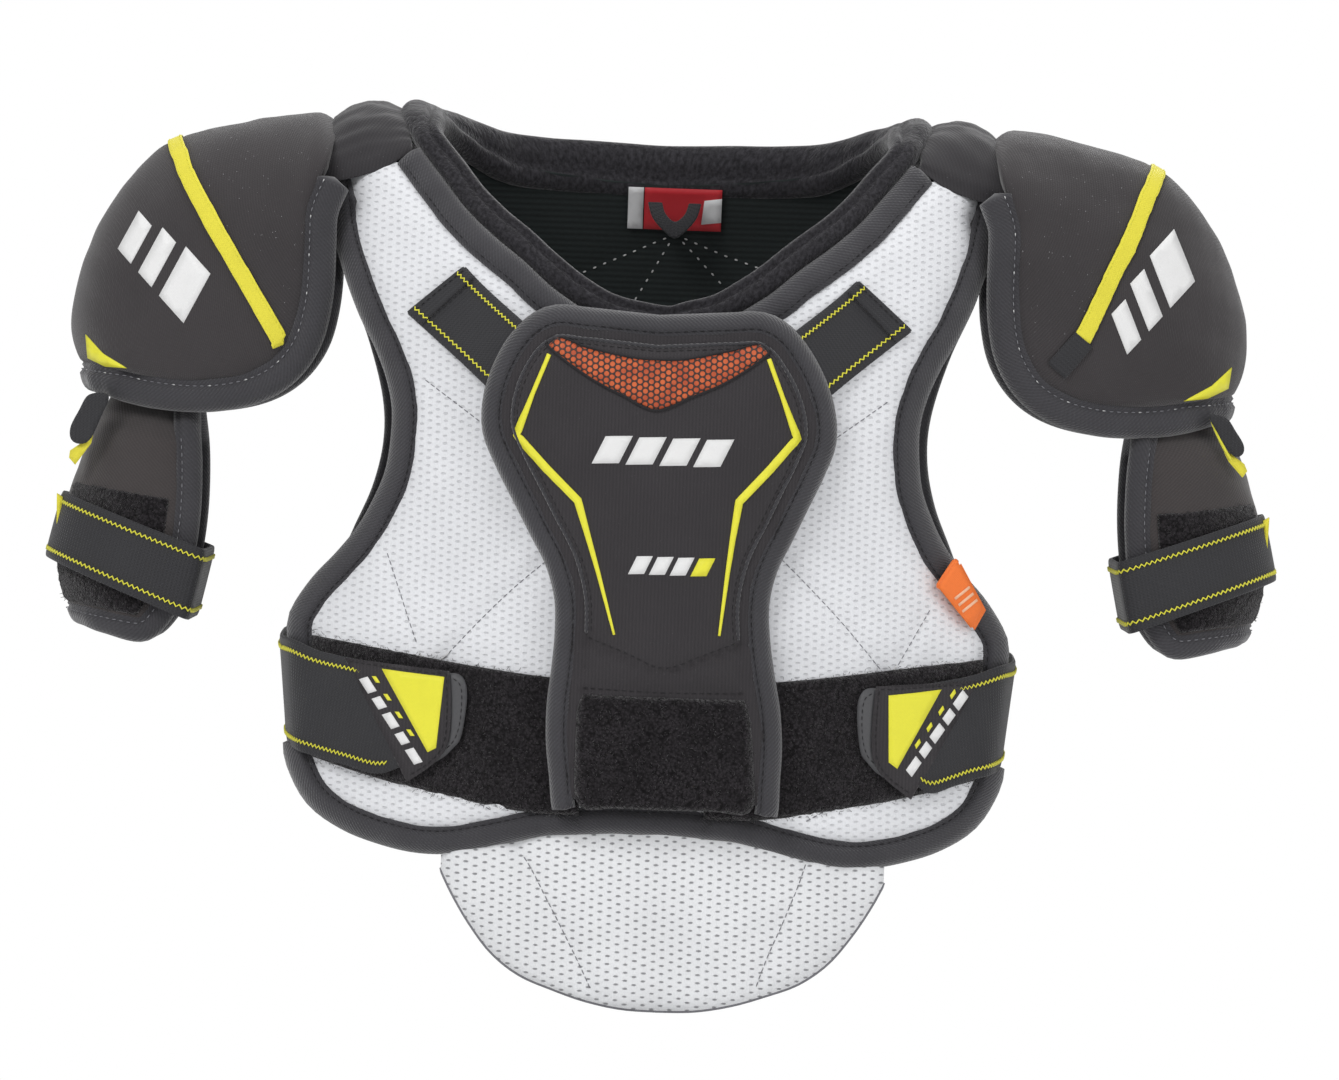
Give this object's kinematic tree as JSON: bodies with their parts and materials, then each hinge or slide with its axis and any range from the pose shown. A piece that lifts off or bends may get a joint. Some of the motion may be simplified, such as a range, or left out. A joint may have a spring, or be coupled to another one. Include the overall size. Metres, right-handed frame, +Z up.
{
  "type": "hockey shoulder pads",
  "caption": "Padded hockey shoulder protector: chest and back panels, sternum guard, hinged shoulder caps, strapped upper-arm guards, side belts and a belly flap.",
  "frame": {"origin": "middle of the neck opening at shoulder height, on the mid plane", "axes": "+X towards the wearer's left arm, -Y out of the chest, +Z up the wearer's body"},
  "size_m": [0.4838, 0.2109, 0.3491],
  "materials": {
    "white_mesh": "sports mesh",
    "charcoal_knit": "knit and twill",
    "black_fleece": "brushed binding and fleece",
    "dark_liner": "ribbed lining",
    "black_elastic": "ribbed elastic webbing",
    "loop_pile": "fuzzy loop pile",
    "foam": "closed-cell foam",
    "plate": "moulded",
    "yellow_tape": "woven tape",
    "grey_rubber": "moulded",
    "orange_tag": "satin ribbon",
    "label": "woven label"
  },
  "bodies": {
    "torso": {"chest_cover": "white_mesh", "chest_foam": "foam", "chest_liner": "dark_liner", "armhole_binding_left": "black_fleece", "armhole_binding_right": "black_fleece", "chest_hem_binding": "black_fleece", "collar_binding": "black_fleece", "neck_collar": "black_fleece", "back_cover": "charcoal_knit", "back_foam": "dark_liner", "spine_guard": "charcoal_knit", "back_binding": "black_fleece", "shoulder_bridge_left": "charcoal_knit", "shoulder_bridge_right": "charcoal_knit", "loop_field_left": "loop_pile", "loop_field_right": "loop_pile", "upper_chest_strap_left": "black_elastic", "upper_chest_strap_right": "black_elastic", "belt_strap_left": "black_elastic", "belt_strap_right": "black_elastic", "hang_loop": "black_elastic", "neck_label": "label", "side_tag": "orange_tag"},
    "sternum_guard": {"sternum_cover": "loop_pile", "sternum_foam": "foam", "sternum_plate": "plate", "sternum_binding": "black_fleece", "sternum_loop_panel": "loop_pile"},
    "belly_flap": {"belly_flap_cover": "white_mesh", "belly_flap_foam": "foam"},
    "belt_end_left": {"belt_front_left": "black_elastic", "belt_hook_tab_left": "grey_rubber"},
    "cap_left": {"cap_cover_left": "charcoal_knit", "cap_shell_left": "plate", "cap_foam_left": "foam", "cap_binding_left": "black_fleece", "cap_stripe_left": "yellow_tape", "arm_hanger_left": "black_elastic"},
    "arm_left": {"arm_cover_left": "charcoal_knit", "arm_foam_left": "foam", "arm_binding_left": "black_fleece", "arm_loop_patch_left": "loop_pile", "arm_band_left": "black_elastic", "arm_pull_tab_left": "black_elastic"},
    "arm_strap_end_left": {"arm_band_end_left": "black_elastic"},
    "belt_end_right": {"belt_front_right": "black_elastic", "belt_hook_tab_right": "grey_rubber"},
    "cap_right": {"cap_cover_right": "charcoal_knit", "cap_shell_right": "plate", "cap_foam_right": "foam", "cap_binding_right": "black_fleece", "cap_stripe_right": "yellow_tape", "arm_hanger_right": "black_elastic"},
    "arm_right": {"arm_cover_right": "charcoal_knit", "arm_foam_right": "foam", "arm_binding_right": "black_fleece", "arm_loop_patch_right": "loop_pile", "arm_band_right": "black_elastic", "arm_pull_tab_right": "black_elastic"},
    "arm_strap_end_right": {"arm_band_end_right": "black_elastic"}
  },
  "joints": [
    {"name": "sternum_guard_lift", "type": "hinge", "parent": "torso", "child": "sternum_guard", "pos_m": [0, -0.1, -0.249], "axis": [1, 0, 0], "range_deg": [0, 12], "stiffness_Nm_per_rad": 0.6, "springref_deg": -5.73},
    {"name": "belly_flap_swing", "type": "hinge", "parent": "torso", "child": "belly_flap", "pos_m": [0, -0.093, -0.2635], "axis": [-1, 0, 0], "range_deg": [-5, 50]},
    {"name": "belt_opening_left", "type": "hinge", "parent": "torso", "child": "belt_end_left", "pos_m": [-0.142, -0.014, -0.21], "axis": [0.109, 0, -0.994], "range_deg": [0, 70]},
    {"name": "cap_lift_left", "type": "hinge", "parent": "torso", "child": "cap_left", "pos_m": [-0.128, 0, 0.0135], "axis": [0, 1, 0], "range_deg": [0, 50]},
    {"name": "arm_swing_left", "type": "hinge", "parent": "cap_left", "child": "arm_left", "pos_m": [-0.221, 0, -0.1055], "axis": [0, 1, 0], "range_deg": [0, 35]},
    {"name": "arm_strap_opening_left", "type": "hinge", "parent": "arm_left", "child": "arm_strap_end_left", "pos_m": [-0.1786, -0.0423, -0.172], "axis": [0.2095, 0, 0.9778], "range_deg": [0, 80]},
    {"name": "belt_opening_right", "type": "hinge", "parent": "torso", "child": "belt_end_right", "pos_m": [0.142, -0.014, -0.21], "axis": [0.109, 0, 0.994], "range_deg": [0, 70]},
    {"name": "cap_lift_right", "type": "hinge", "parent": "torso", "child": "cap_right", "pos_m": [0.128, 0, 0.0165], "axis": [0, -1, 0], "range_deg": [0, 50]},
    {"name": "arm_swing_right", "type": "hinge", "parent": "cap_right", "child": "arm_right", "pos_m": [0.229, 0, -0.0975], "axis": [0, -1, 0], "range_deg": [0, 35]},
    {"name": "arm_strap_opening_right", "type": "hinge", "parent": "arm_right", "child": "arm_strap_end_right", "pos_m": [0.1866, -0.0423, -0.164], "axis": [0.2095, 0, -0.9778], "range_deg": [0, 80]}
  ]
}
